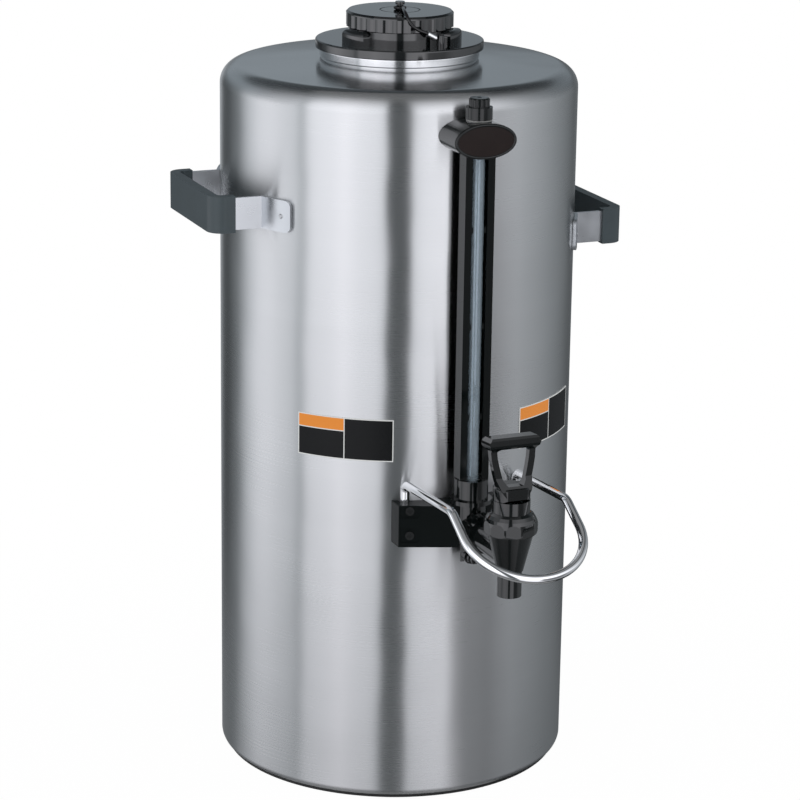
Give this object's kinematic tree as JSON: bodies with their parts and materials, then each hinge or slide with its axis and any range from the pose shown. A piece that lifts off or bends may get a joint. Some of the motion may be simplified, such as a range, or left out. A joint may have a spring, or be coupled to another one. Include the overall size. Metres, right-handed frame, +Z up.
{
  "type": "insulated coffee urn with tap and sight gauge",
  "caption": "Tall cylindrical steel coffee urn with a black screw-cap lid, side grips, a vertical sight gauge, a lever tap and a wire cup guard on its front.",
  "frame": {"origin": "the axis of the body at the plane it stands on", "axes": "+Z up along the body, -Y towards the tap, +X towards the right handle seen from the front"},
  "size_m": [0.315, 0.392, 0.5533],
  "materials": {
    "brushed_steel": "brushed round the body, satin",
    "plain_steel": "plain mill finish",
    "polished_steel": "polished",
    "bright_chrome": "bright chrome plate",
    "satin_black": "semi-gloss moulded plastic",
    "slate_grip": "matte",
    "black_rubber": "matte",
    "grey_silicone": "matte",
    "foam": "rigid foam",
    "cord_black": "smooth flexible plastic",
    "badge_brown": "gloss, bare",
    "clear_tube": "clear",
    "screw_black": "black oxide",
    "label_black": "printed film, blank"
  },
  "bodies": {
    "urn": {"outer_shell": "brushed_steel", "deck": "brushed_steel", "foot_ring": "black_rubber", "base_pan": "plain_steel", "tank": "plain_steel", "insulation": "foam", "neck_collar": "polished_steel", "gauge_head": "satin_black", "badge_plate": "badge_brown", "head_stud": "plain_steel", "gauge_guard": "satin_black", "sight_tube": "clear_tube", "tube_clips": "satin_black", "tube_seal_upper": "grey_silicone", "tube_seal_lower": "grey_silicone", "gauge_fitting": "satin_black", "drain_plug": "satin_black", "mount_plate": "plain_steel", "bracket_cover": "satin_black", "bracket_screws": "screw_black", "gauge_tee": "satin_black", "shank": "plain_steel", "shank_gasket": "grey_silicone", "shank_nut": "plain_steel", "coupling_nut": "satin_black", "tap_body": "satin_black", "bonnet": "satin_black", "wire_guard": "bright_chrome", "strap_left": "brushed_steel", "grip_left": "slate_grip", "strap_right": "brushed_steel", "grip_right": "slate_grip", "strap_rivets": "plain_steel", "label_left": "label_black", "label_right": "label_black"},
    "lid": {"lid": "satin_black", "lid_gasket": "grey_silicone", "fill_funnel": "plain_steel", "tether_anchor": "satin_black"},
    "cap_carrier": {"cap_seal": "grey_silicone", "tether_ring": "satin_black", "tether": "cord_black", "tether_crimp": "polished_steel"},
    "cap": {"screw_cap": "satin_black", "cap_stud": "satin_black"},
    "vent_carrier": {"vent_seal": "grey_silicone"},
    "vent": {"vent_cap": "satin_black"},
    "stem": {"tap_stem": "plain_steel", "seat_cup": "grey_silicone", "tap_spring": "plain_steel", "handle_pin": "plain_steel"},
    "handle": {"tap_handle": "satin_black"}
  },
  "joints": [
    {"name": "lid_lift", "type": "slide", "parent": "urn", "child": "lid", "axis": [0, 0, 1], "range_m": [0, 0.1]},
    {"name": "cap_lift", "type": "slide", "parent": "lid", "child": "cap_carrier", "axis": [0, 0, 1], "range_m": [0, 0.006], "deforming": ["tether"]},
    {"name": "cap_turn", "type": "hinge", "parent": "cap_carrier", "child": "cap", "pos_m": [0, 0, 0.54], "axis": [0, 0, 1], "range_deg": [0, 540]},
    {"name": "stem_lift", "type": "slide", "parent": "urn", "child": "stem", "axis": [0, 0, 1], "range_m": [0, 0.0035], "deforming": ["tap_spring"]},
    {"name": "handle_tilt", "type": "hinge", "parent": "stem", "child": "handle", "pos_m": [0, -0.2075, 0.25425], "axis": [1, 0, 0], "range_deg": [0, 30], "stiffness_Nm_per_rad": 0.15, "springref_deg": -11.46},
    {"name": "vent_lift", "type": "slide", "parent": "urn", "child": "vent_carrier", "axis": [0, 0, 1], "range_m": [0, 0.00225]},
    {"name": "vent_turn", "type": "hinge", "parent": "vent_carrier", "child": "vent", "pos_m": [0, -0.141, 0.5], "axis": [0, 0, 1], "range_deg": [0, 360]}
  ],
  "couplings": [
    {"joint": "cap_lift", "follows": "cap_turn", "m_per_rad": 0.00063662},
    {"joint": "stem_lift", "follows": "handle_tilt", "m_per_rad": 0.0066845},
    {"joint": "vent_turn", "follows": "vent_lift", "rad_per_m": 2792.5}
  ]
}
